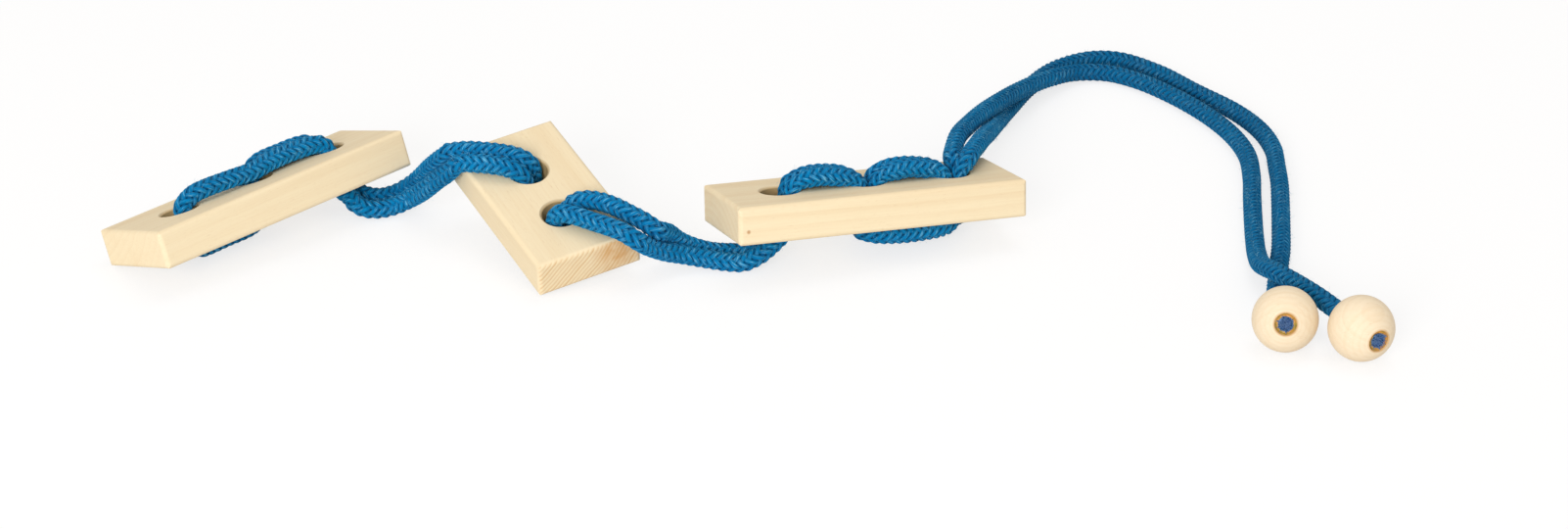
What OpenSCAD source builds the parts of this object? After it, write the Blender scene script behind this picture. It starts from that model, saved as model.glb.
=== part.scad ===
// Wooden rope puzzle: three drilled blocks laced on one doubled cord, with a bead glued on each end.
// X runs to the right along the row of blocks, Y away from the player, and the table is at Z = 0.

/* [Blocks] */
// Length of each long block
long_block_l = 82; // [78:0.5:92]
// Length of the short middle block
short_block_l = 54; // [50:0.5:64]
// Width of every block
block_w = 30; // [28:0.5:34]
// Thickness of every block
block_t = 10.4; // [10.2:0.1:10.8]
// Rounding of the long edges and corners of a block
block_edge_r = 1.2; // [0.5:0.1:2]

/* [Holes] */
// Diameter of the lacing holes
hole_d = 10.4; // [10.4:0.1:11.4]
// Distance between neighbouring holes in a long block
long_pitch = 24.4; // [24:0.1:24.8]
// Distance between the two holes in the middle block
short_pitch = 20; // [19.6:0.1:20.4]
// Chamfer around each hole's mouth
hole_ease = 0.6; // [0.4:0.1:1]

/* [Beads] */
// Diameter of a bead
bead_d = 17; // [16.6:0.1:17.4]
// Gap between the cord and the wood in a bead, filled with glue at the cut end
glue_gap = 0.35; // [0.3:0.05:0.6]
// Chamfer around the bead's hole
bead_ease = 0.3; // [0.2:0.1:0.6]
// How far the cut cord end stays back from the bead's face
cord_end_recess = 1.2; // [0.8:0.1:2.5]
// Length of the ring of glue around the cord end
glue_l = 3; // [2:0.1:5]

/* [Cord] */
// Diameter of the braided cord
cord_d = 4.8; // [4.4:0.1:4.8]
// Diameter of a strand squeezed into a hole with three others
packed_d = 4; // [3.8:0.1:4.1]
// Diameter of a strand squeezed into a hole with one other, or drawn hard against a block
paired_d = 4.6; // [4.2:0.1:4.6]
// Diameter of the strand that the left block lies on
pressed_d = 4.2; // [4.1:0.1:4.4]

/* [Hidden] */
$fn = 64;
overrun = 1;
cord_sides = 10;

// How each block lies on the table: its centre, then its roll, pitch and yaw
left_pose = [[-129, 21.4, 11.5], [-17.6, -2.8, 44.7]];
middle_pose = [[-50.4, 11.9, 13.2], [7.4, 13.5, -60.2]];
right_pose = [[35.6, 15, 13.4], [-11, 2.8, 19.4]];

// Where each bead lies, the space between them along X, and the way each hole points, out of the
// face with the cut cord end
bead_space = 1.6;
left_bead_at = [141.1, -45.8, bead_d / 2];
right_bead_at = [left_bead_at.x + bead_d + bead_space, -50.9, bead_d / 2];
left_bead_turn = [-17, 0, -7.5];
right_bead_turn = [0, 0, 25];

cord_r = cord_d / 2;
bead_hole_d = cord_d + 2 * glue_gap;
packed_r = packed_d / 2;
paired_r = paired_d / 2;
pressed_r = pressed_d / 2;
top = block_t / 2;
// Height of the ring where the bead's hole meets its round face
bead_flat = sqrt(pow(bead_d / 2, 2) - pow(bead_hole_d / 2, 2));

// A point turned about each axis in the order that rotate() uses
function about_x(a, p) = [p.x, p.y * cos(a) - p.z * sin(a), p.y * sin(a) + p.z * cos(a)];
function about_y(a, p) = [p.x * cos(a) + p.z * sin(a), p.y, p.z * cos(a) - p.x * sin(a)];
function about_z(a, p) = [p.x * cos(a) - p.y * sin(a), p.x * sin(a) + p.y * cos(a), p.z];
function turned(a, p) = about_z(a.z, about_y(a.y, about_x(a.x, p)));
function placed(pose, p) = pose[0] + turned(pose[1], [p.x, p.y, p.z]);

// A route is a list of points; a fourth number is the strand's radius there, where it is squeezed
function radius_at(p) = len(p) > 3 ? p[3] : cord_r;
function spot(p) = [p.x, p.y, p.z];
function first(route) = route[0];
function last(route) = route[len(route) - 1];
function unit(v) = v / norm(v);
function before_last(route) = route[len(route) - 2];
function onward(route, i) = unit(spot(route[i + 1]) - spot(route[i]));
function heading(route, i) =
    i == 0 ? onward(route, 0)
    : i == len(route) - 1 ? onward(route, i - 1)
    : unit(onward(route, i - 1) + onward(route, i));
function carried(side, ahead) = unit(side - (side * ahead) * ahead);
function sides_from(ahead, side, i = 0) =
    i == len(ahead) ? []
    : let (here = carried(side, ahead[i])) concat([here], sides_from(ahead, here, i + 1));
function laid_route(pose, route) = [for (p = route) concat(placed(pose, p), [radius_at(p)])];

// A tube along a route, with flat ends. Where the cord runs on into another stretch, the next point
// of that stretch turns the end face halfway, so that the two faces meet.
module strand(route, from, to) {
    whole = concat(
        is_undef(from) ? [] : [from],
        route,
        is_undef(to) ? [] : [to]
    );
    skip = is_undef(from) ? 0 : 1;
    ahead = [for (i = [0:len(route) - 1]) heading(whole, i + skip)];
    side = sides_from(ahead, abs(ahead[0].z) > 0.7 ? [1, 0, 0] : [0, 0, 1]);
    ring_points = [
        for (i = [0:len(route) - 1])
            for (k = [0:cord_sides - 1])
                let (a = 360 * k / cord_sides)
                    spot(route[i])
                    + radius_at(route[i]) * (cos(a) * side[i] + sin(a) * cross(ahead[i], side[i]))
    ];
    walls = [
        for (i = [0:len(route) - 2])
            for (k = [0:cord_sides - 1])
                let (
                    a = i * cord_sides + k,
                    b = i * cord_sides + (k + 1) % cord_sides,
                    c = b + cord_sides,
                    d = a + cord_sides
                )
                    each [[a, c, b], [a, d, c]]
    ];
    near_end = [for (k = [0:cord_sides - 1]) k];
    far_end = [for (k = [cord_sides - 1:-1:0]) (len(route) - 1) * cord_sides + k];
    polyhedron(ring_points, concat(walls, [near_end, far_end]), convexity = 6);
}

module laid(pose) {
    translate(pose[0]) rotate(pose[1]) children();
}

// Left block: each strand climbs through the right hole; the loop runs over, down the middle hole,
// under, up the left hole and back over both spans in front of itself.
left_loop = [
    [25, -4.4, -8.2, paired_r],
    [23.6, -3, -6.2, paired_r],
    [23.1, -2.2, -3.5, paired_r],
    [23.5, -2.4, 0, paired_r],
    [24, -2.4, 3.5, paired_r],
    [23.3, -2.3, 6.4, paired_r],
    [21.4, -2, 7.7],
    [18.6, -1.8, 8],
    [12, -1.6, 8.3],
    [5, -1.9, 8.2],
    [0, -2.6, 7.8],
    [-8, -2.7, 8.2],
    [-16, -2.2, 8.4],
    [-19.6, -1.4, 8],
    [-21.6, -0.7, 7],
    [-23.1, -0.1, 5.6],
    [-23.6, 0, 3.5],
    [-23.6, 0, -3.5],
    [-23, 0, -5.6],
    [-21.4, 0.3, -7, pressed_r],
    [-19, 0.8, -7.4, pressed_r],
    [-12, 1.2, -7.4, pressed_r],
    [-6, 1.2, -7.4, pressed_r],
    [-2.9, 1.4, -7, pressed_r],
    [-0.8, 1.6, -5.6, pressed_r],
    [0, 1.8, -3.5],
    [0, 1.8, 3.5],
    [0.8, 2.1, 5.8],
    [2.6, 2.7, 7.4],
    [5.4, 3.3, 8.2],
    [12, 3.7, 8.3],
    [18.6, 3.4, 8.2],
    [21.6, 3, 7.6],
    [23.4, 2.6, 5.9, paired_r],
    [24, 2.4, 3.5, paired_r],
    [25.1, 2.1, 0, paired_r],
    [26.1, 1.5, -3.5, paired_r],
    [27.1, 0.5, -6.1, paired_r],
    [29.2, -0.8, -8.2, paired_r]
];

// Middle block: the pair comes over the back left corner, dives, runs under and comes up to leave
// over the right edge.
middle_front = [
    [-22.6, -18.3, 2.4],
    [-20.6, -17.1, 5.3, paired_r],
    [-19.8, -16.4, 6.7, paired_r],
    [-18.8, -15, 7.4, paired_r],
    [-16.6, -12.4, 7.9],
    [-14.2, -9.4, 8],
    [-11.6, -6.4, 7.9],
    [-9.6, -4.3, 7.3],
    [-8.6, -2.7, 5.8, paired_r],
    [-8.4, -1.9, 3.5, paired_r],
    [-8.4, -1.9, -3.5, paired_r],
    [-7.7, -2, -5.8, paired_r],
    [-6, -2.3, -7.4],
    [-3.5, -2.5, -8],
    [2, -2.6, -8],
    [6.2, -2.6, -8],
    [8.4, -2.5, -7.4],
    [10.1, -2.4, -5.8, paired_r],
    [10.8, -2.3, -3.5, paired_r],
    [10.8, -2.3, 3.5, paired_r],
    [11.3, -2, 5.8, paired_r],
    [12.8, -1, 7.4],
    [15.2, 0.7, 8.1],
    [20, 4, 8.2],
    [24.2, 6.9, 8.3],
    [27.4, 9.4, 7.8],
    [30.2, 12.2, 5.8]
];
middle_back = [
    [-28.6, -18, 2.6],
    [-26.4, -17.1, 5.4, paired_r],
    [-25.6, -16.4, 6.8, paired_r],
    [-24.5, -15, 7.4, paired_r],
    [-22.4, -12.1, 8],
    [-20, -8.9, 8.2],
    [-17.4, -5.5, 8.2],
    [-14.4, -2.1, 8],
    [-12.6, -0.4, 7.4],
    [-11.8, 1.1, 5.8, paired_r],
    [-11.6, 1.9, 3.5, paired_r],
    [-11.6, 1.9, -3.5, paired_r],
    [-10.9, 2, -5.8, paired_r],
    [-9.2, 2.3, -7.4],
    [-6.7, 2.5, -8],
    [-1, 2.6, -8],
    [4.6, 2.6, -8],
    [6.8, 2.5, -7.4],
    [8.5, 2.4, -5.8, paired_r],
    [9.2, 2.3, -3.5, paired_r],
    [9.2, 2.3, 3.5, paired_r],
    [9.5, 2.9, 5.8, paired_r],
    [10.4, 4.6, 7.5],
    [12, 7.2, 8.2],
    [14.6, 9.8, 8.4],
    [18.2, 12.2, 8.4],
    [22.2, 14.2, 8.2],
    [25.6, 16.6, 7.2],
    [28.2, 19.2, 5]
];

// Right block: both strands climb through the left hole, then each goes over to the middle hole,
// under to the right hole, back over, down, under again and out at the top of the right hole.
right_first = [
    [-31, -2.6, -11],
    [-28.4, -2.5, -9.2],
    [-26, -2.4, -7.5, paired_r],
    [-24, -2.4, -5.4, paired_r],
    [-22.9, -2.4, -2.8, paired_r],
    [-22.4, -2.3, 0.6, packed_r],
    [-22.1, -2.1, 3.5, packed_r],
    [-21.8, -2.1, 5.1, packed_r],
    [-21.1, -2.2, 6.6, packed_r],
    [-19.3, -2.2, 7.6, packed_r],
    [-17, -2.2, 8.2, paired_r],
    [-13.8, -2.2, 8.5],
    [-10, -2.3, 8.1],
    [-7, -2.4, 7.6, paired_r],
    [-4.8, -2.4, 7.2, packed_r],
    [-3, -2.2, 6.1, packed_r],
    [-2.4, -2.1, 5, packed_r],
    [-2.2, -2.1, 3.5, packed_r],
    [-1, -2.9, 0, packed_r],
    [0.5, -3, -3.5, packed_r],
    [1.2, -3, -6, packed_r],
    [3.2, -3, -7.5, packed_r],
    [6, -2.8, -8.1],
    [12.2, -2.6, -8.1],
    [16.8, -2.2, -8.2],
    [19.6, -1.2, -7.8],
    [21.2, -0.4, -6.1, packed_r],
    [21.4, 0, -3.5, packed_r],
    [21.6, 1.2, 0, packed_r],
    [22.2, 2.1, 3.5, packed_r],
    [22, 2.1, 5.1, packed_r],
    [21.2, 2.3, 6.4, packed_r],
    [19.6, 2.4, 7.3, packed_r],
    [16.4, 2.6, 7.7, paired_r],
    [12, 2.6, 8.1],
    [7.6, 2.6, 7.8],
    [4.7, 2.4, 7.3, packed_r],
    [2.8, 2.2, 6, packed_r],
    [2.1, 2.1, 3.5, packed_r],
    [1, 2.9, 0, packed_r],
    [-0.5, 3, -3.5, packed_r],
    [-0.5, 3.1, -5, packed_r],
    [-0.4, 3.8, -6.5, packed_r],
    [0.3, 5, -7.9],
    [3.2, 7, -8.2],
    [8, 7.8, -8.1],
    [14, 8, -8],
    [19, 8.9, -8.1],
    [23.4, 9.1, -8.2],
    [26.6, 7.9, -8.2],
    [28.3, 5.4, -8.3],
    [28.4, 2.8, -7.9, packed_r],
    [27.7, 0.6, -6.1, packed_r],
    [27.4, 0, -3.5, packed_r],
    [27.2, -1.2, 0, packed_r],
    [26.5, -2.1, 3.5, packed_r],
    [26.9, -1.9, 6, packed_r],
    [28.3, -1.5, 7.8],
    [30.1, 0, 8.8],
    [31.6, 2.4, 9.3]
];
right_second = [
    [-31, 2.7, -11.4],
    [-28.4, 2.5, -9.6],
    [-26, 2.4, -7.7, paired_r],
    [-24, 2.3, -5.4, paired_r],
    [-22.9, 2.2, -2.8, paired_r],
    [-22.4, 2.2, 0.6, packed_r],
    [-22.1, 2.1, 3.5, packed_r],
    [-21.8, 2.1, 5.1, packed_r],
    [-21.1, 2.2, 6.6, packed_r],
    [-19.3, 2.4, 7.5, packed_r],
    [-16.8, 2.5, 8, paired_r],
    [-13.4, 2.6, 8.2],
    [-9.2, 2.6, 7.9],
    [-6.8, 2.5, 7.6, paired_r],
    [-4.8, 2.4, 7.2, packed_r],
    [-3, 2.2, 6.1, packed_r],
    [-2.4, 2.1, 5, packed_r],
    [-2.2, 2.1, 3.5, packed_r],
    [-2.9, 1, 0, packed_r],
    [-3, -0.5, -3.5, packed_r],
    [-3.1, -1, -5.7, packed_r],
    [-2.9, -2.9, -7.3, packed_r],
    [-1.9, -5.5, -7.6, packed_r],
    [0.4, -7.4, -7.7, paired_r],
    [4.2, -8, -7.9],
    [9, -8, -8.1],
    [14.6, -7.6, -8],
    [18.8, -6.8, -7.8],
    [22.2, -5.4, -7.7, packed_r],
    [24.2, -3.3, -6.2, packed_r],
    [24.4, -3, -3.5, packed_r],
    [23.2, -2.8, 0, packed_r],
    [22.2, -2.1, 3.5, packed_r],
    [22, -2.1, 5.1, packed_r],
    [21.2, -2.3, 6.4, packed_r],
    [19.6, -2.4, 7.3, packed_r],
    [16.4, -2.5, 7.8, paired_r],
    [12, -2.3, 8.5],
    [7.6, -2.4, 8],
    [4.7, -2.4, 7.3, packed_r],
    [2.8, -2.2, 6, packed_r],
    [2.1, -2.1, 3.5, packed_r],
    [2.9, -1, 0, packed_r],
    [3, 0.5, -3.5, packed_r],
    [3.1, 0.8, -4.9, packed_r],
    [3.5, 1.4, -6.4, packed_r],
    [5, 2.2, -8],
    [7.8, 2.6, -8.1],
    [12.2, 2.6, -8.1],
    [18, 3.5, -8.1],
    [21.3, 4, -7.8],
    [23.5, 3.4, -6.1, packed_r],
    [24.4, 3, -3.5, packed_r],
    [25.6, 2.8, 0, packed_r],
    [26.5, 2.1, 3.5, packed_r],
    [26.6, 2.4, 6.1, packed_r],
    [27.1, 4, 7.9],
    [28.1, 6.6, 8.6],
    [29.4, 9.6, 8.6]
];

// The same stretches as they lie on the table
left_lacing = laid_route(left_pose, left_loop);
middle_front_lacing = laid_route(middle_pose, middle_front);
middle_back_lacing = laid_route(middle_pose, middle_back);
right_first_lacing = laid_route(right_pose, right_first);
right_second_lacing = laid_route(right_pose, right_second);

// Free stretches, on the table unless something carries them
left_link_front = [
    first(left_lacing),
    [-104.1, 32.9, 4.1],
    [-101.2, 32.3, 3],
    [-97.6, 32.8, 2.6],
    [-93.5, 34.4, 3],
    [-89.4, 34, 5.2],
    [-86, 30.8, 8.4],
    [-82.9, 27.2, 12.1],
    [-79.9, 24.3, 15.7],
    first(middle_front_lacing)
];
left_link_back = [
    last(left_lacing),
    [-102.1, 39.2, 3.8],
    [-97.7, 39.4, 3.2],
    [-93.4, 41.2, 3.8],
    [-89.6, 41.2, 6.2],
    [-86.5, 38.2, 10],
    [-84, 33.6, 14.2],
    [-81.8, 29.6, 17.6],
    first(middle_back_lacing)
];
right_link_front = [
    last(middle_front_lacing),
    [-22.3, -6.6, 10.2],
    [-18.1, -3.2, 7],
    [-13.5, -0.2, 4.7],
    [-8.1, 0.7, 3.2],
    [-2.1, 0, 2.5],
    [2.9, -0.4, 2.5],
    first(right_first_lacing)
];
right_link_back = [
    last(middle_back_lacing),
    [-17.4, 1, 10.6],
    [-14.7, 4.2, 6.8],
    [-10.9, 6.2, 4],
    [-5.7, 6.1, 2.6],
    [0.5, 5.6, 2.5],
    first(right_second_lacing)
];

left_bead_back = left_bead_at + turned(left_bead_turn, [0, bead_d / 2 + 2, 0]);
right_bead_back = right_bead_at + turned(right_bead_turn, [0, bead_d / 2 + 2, 0]);

outer_tail = [
    last(right_first_lacing),
    [66.8, 38.6, 19.2],
    [68.9, 50.4, 16],
    [71.3, 63.4, 12],
    [75.2, 83.4, 6.6],
    [80.2, 101.4, 3.6],
    [86.7, 118.4, 2.5],
    [95.7, 132.9, cord_r],
    [106.2, 140.2, cord_r],
    [114.7, 140, cord_r],
    [125.7, 130.4, cord_r],
    [135.7, 115.4, cord_r],
    [146.2, 99.9, cord_r],
    [151.7, 86.4, cord_r],
    [153.7, 73.4, cord_r],
    [153.2, 61.4, cord_r],
    [152.5, 49.9, cord_r],
    [150.9, 35.4, cord_r],
    [149.2, 21.4, cord_r],
    [147.5, 8.4, cord_r],
    [145.5, -2.6, cord_r],
    [144.1, -10.6, cord_r],
    [142.9, -17.6, 2.5]
];
inner_tail = [
    last(right_second_lacing),
    [61.9, 46.4, 18.4],
    [65.7, 59.4, 16.4],
    [70.1, 72.4, 14.2],
    [75.3, 85.4, 11.8],
    [83.2, 102.4, 8.6],
    [92.7, 118.4, 5.4],
    [101.8, 128.6, 3],
    [110.7, 129.6, cord_r],
    [118.9, 124.3, cord_r],
    [128.3, 113.2, cord_r],
    [137.3, 98.2, cord_r],
    [143.2, 83.2, cord_r],
    [145.7, 69.4, cord_r],
    [145.3, 55.4, cord_r],
    [143.7, 40.9, cord_r],
    [142.3, 27.4, cord_r],
    [141.1, 14.4, cord_r],
    [140.3, 3, 3],
    [140.2, -8, 5.3],
    [142.2, -17.2, 8],
    [146.6, -26, 8.9]
];
left_end = [
    last(outer_tail),
    [141.9, -25.1, 3.2],
    left_bead_back,
    left_bead_at + turned(left_bead_turn, [0, bead_d / 4, 0]),
    left_bead_at - turned(left_bead_turn, [0, bead_d / 2 - cord_end_recess, 0])
];
right_end = [
    last(inner_tail),
    [151, -33.8, 9],
    right_bead_back,
    right_bead_at + turned(right_bead_turn, [0, bead_d / 4, 0]),
    right_bead_at - turned(right_bead_turn, [0, bead_d / 2 - cord_end_recess, 0])
];

// The outline of a block seen along one axis, with rounded corners
module block_face(a, b) {
    inner = [a - 2 * block_edge_r, b - 2 * block_edge_r];
    square([inner.x, b], center = true);
    square([a, inner.y], center = true);
    for (x = [-1, 1], y = [-1, 1])
        translate([x * inner.x / 2, y * inner.y / 2]) circle(r = block_edge_r, $fn = 24);
}

module lacing_hole(x) {
    translate([x, 0, 0]) {
        cylinder(h = block_t + 2 * overrun, d = hole_d, center = true);
        for (face = [0, 180])
            rotate([face, 0, 0])
                translate([0, 0, top - hole_ease])
                    cylinder(
                        h = hole_ease + overrun,
                        d1 = hole_d,
                        d2 = hole_d + 2 * (hole_ease + overrun)
                    );
    }
}

module block(length, holes) {
    difference() {
        intersection() {
            linear_extrude(block_t, center = true) block_face(length, block_w);
            rotate([90, 0, 0]) linear_extrude(block_w, center = true) block_face(length, block_t);
            rotate([90, 0, 90]) linear_extrude(length, center = true) block_face(block_w, block_t);
        }
        for (x = holes) lacing_hole(x);
    }
}

module bead() {
    difference() {
        sphere(d = bead_d);
        rotate([90, 0, 0]) cylinder(h = bead_d + overrun, d = bead_hole_d, center = true);
        for (face = [90, -90])
            rotate([face, 0, 0])
                translate([0, 0, bead_flat - bead_ease])
                    cylinder(
                        h = bead_ease + overrun,
                        d1 = bead_hole_d,
                        d2 = bead_hole_d + 2 * (bead_ease + overrun)
                    );
    }
}

// The glue fills the gap between the cord end and the wood, back from the cut end
module glue_ring() {
    rotate([90, 0, 0])
        translate([0, 0, bead_d / 2 - cord_end_recess - glue_l])
            difference() {
                cylinder(h = glue_l, d = bead_hole_d);
                translate([0, 0, -overrun]) cylinder(h = glue_l + 2 * overrun, d = cord_d);
            }
}

module left_block() {
    color("wheat") laid(left_pose) block(long_block_l, [-long_pitch, 0, long_pitch]);
}

module middle_block() {
    color("wheat") laid(middle_pose) block(short_block_l, [-short_pitch / 2, short_pitch / 2]);
}

module right_block() {
    color("wheat") laid(right_pose) block(long_block_l, [-long_pitch, 0, long_pitch]);
}

module left_bead() {
    color("moccasin") translate(left_bead_at) rotate(left_bead_turn) bead();
}

module right_bead() {
    color("moccasin") translate(right_bead_at) rotate(right_bead_turn) bead();
}

module left_bead_glue() {
    color("goldenrod") translate(left_bead_at) rotate(left_bead_turn) glue_ring();
}

module right_bead_glue() {
    color("goldenrod") translate(right_bead_at) rotate(right_bead_turn) glue_ring();
}

module left_block_lacing() {
    color("steelblue") strand(left_lacing, from = left_link_front[1], to = left_link_back[1]);
}

module middle_block_lacing() {
    color("steelblue") {
        strand(
            middle_front_lacing, from = before_last(left_link_front), to = right_link_front[1]
        );
        strand(middle_back_lacing, from = before_last(left_link_back), to = right_link_back[1]);
    }
}

module right_block_lacing() {
    color("steelblue") {
        strand(right_first_lacing, from = before_last(right_link_front), to = outer_tail[1]);
        strand(right_second_lacing, from = before_last(right_link_back), to = inner_tail[1]);
    }
}

module left_link_front_strand() {
    color("steelblue")
        strand(left_link_front, from = left_lacing[1], to = middle_front_lacing[1]);
}

module left_link_back_strand() {
    color("steelblue")
        strand(left_link_back, from = before_last(left_lacing), to = middle_back_lacing[1]);
}

module right_link_front_strand() {
    color("steelblue")
        strand(
            right_link_front,
            from = before_last(middle_front_lacing),
            to = right_first_lacing[1]
        );
}

module right_link_back_strand() {
    color("steelblue")
        strand(
            right_link_back,
            from = before_last(middle_back_lacing),
            to = right_second_lacing[1]
        );
}

module outer_tail_cord() {
    color("steelblue")
        strand(outer_tail, from = before_last(right_first_lacing), to = left_end[1]);
}

module inner_tail_cord() {
    color("steelblue")
        strand(inner_tail, from = before_last(right_second_lacing), to = right_end[1]);
}

module left_bead_cord_end() {
    color("steelblue") strand(left_end, from = before_last(outer_tail));
}

module right_bead_cord_end() {
    color("steelblue") strand(right_end, from = before_last(inner_tail));
}

left_block();
middle_block();
right_block();
left_bead();
right_bead();
left_bead_glue();
right_bead_glue();
left_block_lacing();
middle_block_lacing();
right_block_lacing();
left_link_front_strand();
left_link_back_strand();
right_link_front_strand();
right_link_back_strand();
outer_tail_cord();
inner_tail_cord();
left_bead_cord_end();
right_bead_cord_end();
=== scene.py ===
# Wooden rope puzzle: three drilled blocks on one doubled blue cord, with a bead glued on each end.
import math

import bpy
import numpy as np
from mathutils import Euler, Matrix, Vector


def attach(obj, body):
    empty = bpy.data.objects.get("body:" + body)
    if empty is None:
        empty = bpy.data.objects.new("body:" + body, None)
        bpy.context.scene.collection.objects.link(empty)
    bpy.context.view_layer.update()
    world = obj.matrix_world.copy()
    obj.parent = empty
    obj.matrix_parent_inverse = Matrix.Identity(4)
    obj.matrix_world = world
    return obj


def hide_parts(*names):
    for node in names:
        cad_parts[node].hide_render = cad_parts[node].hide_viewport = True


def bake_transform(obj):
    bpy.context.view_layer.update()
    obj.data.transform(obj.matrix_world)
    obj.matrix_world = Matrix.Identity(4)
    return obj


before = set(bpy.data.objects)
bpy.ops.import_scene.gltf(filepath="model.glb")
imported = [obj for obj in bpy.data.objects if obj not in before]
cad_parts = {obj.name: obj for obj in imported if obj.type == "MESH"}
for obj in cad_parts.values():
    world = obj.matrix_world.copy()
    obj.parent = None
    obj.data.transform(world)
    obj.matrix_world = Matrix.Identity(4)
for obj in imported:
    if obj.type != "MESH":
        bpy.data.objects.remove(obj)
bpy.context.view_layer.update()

# Table and camera
# The puzzle lies on a plain white table, seen from in front and a little above.
# Nothing here belongs to the puzzle.
scene = bpy.context.scene
scene.view_settings.view_transform = "Standard"

camera_at = (0.0137, -0.8224, 0.4027)
camera_tilt = 64
camera_data = bpy.data.cameras.new("photo_camera")
camera_data.sensor_width = 36
camera_data.lens = 78.65
camera_data.clip_start = 0.05
camera_data.clip_end = 20
camera = bpy.data.objects.new("photo_camera", camera_data)
camera.location = camera_at
camera.rotation_euler = (math.radians(camera_tilt), 0, 0)
scene.collection.objects.link(camera)
scene.camera = camera

table_reach = 6
table_mesh = bpy.data.meshes.new("table")
table_mesh.from_pydata(
    [(x * table_reach, y * table_reach, 0) for x, y in ((-1, -1), (1, -1), (1, 1), (-1, 1))],
    [], [(0, 1, 2, 3)],
)
table = bpy.data.objects.new("table", table_mesh)
scene.collection.objects.link(table)


def feed(tree, target, source):
    if hasattr(source, "is_output"):
        tree.links.new(source, target)
    else:
        target.default_value = source


def added(tree, kind, sockets, **settings):
    node = tree.nodes.new(kind)
    for setting, value in settings.items():
        setattr(node, setting, value)
    for socket, source in sockets.items():
        if source is not None:
            feed(tree, node.inputs[socket], source)
    return node


def reckon(tree, operation, *values):
    node = added(tree, "ShaderNodeMath", dict(enumerate(values)), operation=operation)
    return node.outputs[0]


# 1 where the camera sees a surface, directly, mirrored or through something, and 0 for lighting
def looked_at(tree):
    ray = tree.nodes.new("ShaderNodeLightPath").outputs
    seen = reckon(tree, "MAXIMUM", ray["Is Camera Ray"], ray["Is Glossy Ray"])
    return reckon(tree, "MAXIMUM", seen, ray["Is Transmission Ray"])


table_white = bpy.data.materials.new("table_white")
table_white.use_nodes = True
tree = table_white.node_tree
tree.nodes.clear()
table_paint = added(tree, "ShaderNodeBsdfDiffuse", {"Color": (0.8, 0.8, 0.8, 1)})
seen_paint = added(tree, "ShaderNodeBsdfDiffuse", {"Color": (0.3, 0.3, 0.31, 1)})
seen_glow = added(tree, "ShaderNodeEmission", {"Strength": 0.74})
seen_table = added(
    tree, "ShaderNodeAddShader", {0: seen_paint.outputs[0], 1: seen_glow.outputs[0]}
)
table_mix = added(
    tree, "ShaderNodeMixShader",
    {0: looked_at(tree), 1: table_paint.outputs[0], 2: seen_table.outputs[0]},
)
added(tree, "ShaderNodeOutputMaterial", {0: table_mix.outputs[0]})
table_mesh.materials.append(table_white)

# Light
# A broad soft lamp near the camera lights the fronts, and a weak one from above fills the tops.
# The white room gives the rest.
room = bpy.data.worlds.new("white_room")
scene.world = room
room.use_nodes = True
tree = room.node_tree
tree.nodes.clear()
room_fill = added(
    tree, "ShaderNodeBackground", {"Color": (1, 0.96, 0.88, 1), "Strength": 0.58}
)
room_seen = added(tree, "ShaderNodeBackground", {"Strength": 1})
room_mix = added(
    tree, "ShaderNodeMixShader",
    {0: looked_at(tree), 1: room_fill.outputs[0], 2: room_seen.outputs[0]},
)
added(tree, "ShaderNodeOutputWorld", {0: room_mix.outputs[0]})


def lamp(name, at, aim, size, power):
    data = bpy.data.lights.new(name, "AREA")
    data.shape = "DISK"
    data.size = size
    data.energy = power
    hung = bpy.data.objects.new(name, data)
    hung.location = at
    hung.rotation_euler = (Vector(aim) - Vector(at)).to_track_quat("-Z", "Y").to_euler()
    scene.collection.objects.link(hung)


lamp("front_lamp", (-0.42, -1.48, 0.62), (0, 0.02, 0.01), 0.7, 15)
lamp("top_lamp", (0.3, 0.3, 1.5), (0, 0.02, 0), 0.9, 3)

# Cord
# One soft cotton cord, 4.8 mm thick, doubled at its middle and braided from twelve yarns round a
# core. It is laced through the blocks by hand and is squeezed a little where it shares a hole.
# The routes are the middle lines of its stretches, in millimetres, with the radius where squeezed.
MM = 0.001
full = 2.4
packed = 2.0
paired = 2.3
pressed = 2.1

left_pose = ((-129, 21.4, 11.5), (-17.6, -2.8, 44.7))
middle_pose = ((-50.4, 11.9, 13.2), (7.4, 13.5, -60.2))
right_pose = ((35.6, 15, 13.4), (-11, 2.8, 19.4))
left_bead_at = (141.1, -45.8, 8.5)
right_bead_at = (159.7, -50.9, 8.5)
left_bead_turn = (-17, 0, -7.5)
right_bead_turn = (0, 0, 25)


def turning(angles):
    return Euler([math.radians(a) for a in angles], "XYZ").to_matrix()


def laid(pose, points):
    at, angles = pose
    turn = turning(angles)
    return [tuple(turn @ Vector(p[:3]) + Vector(at)) + tuple(p[3:]) for p in points]


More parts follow.
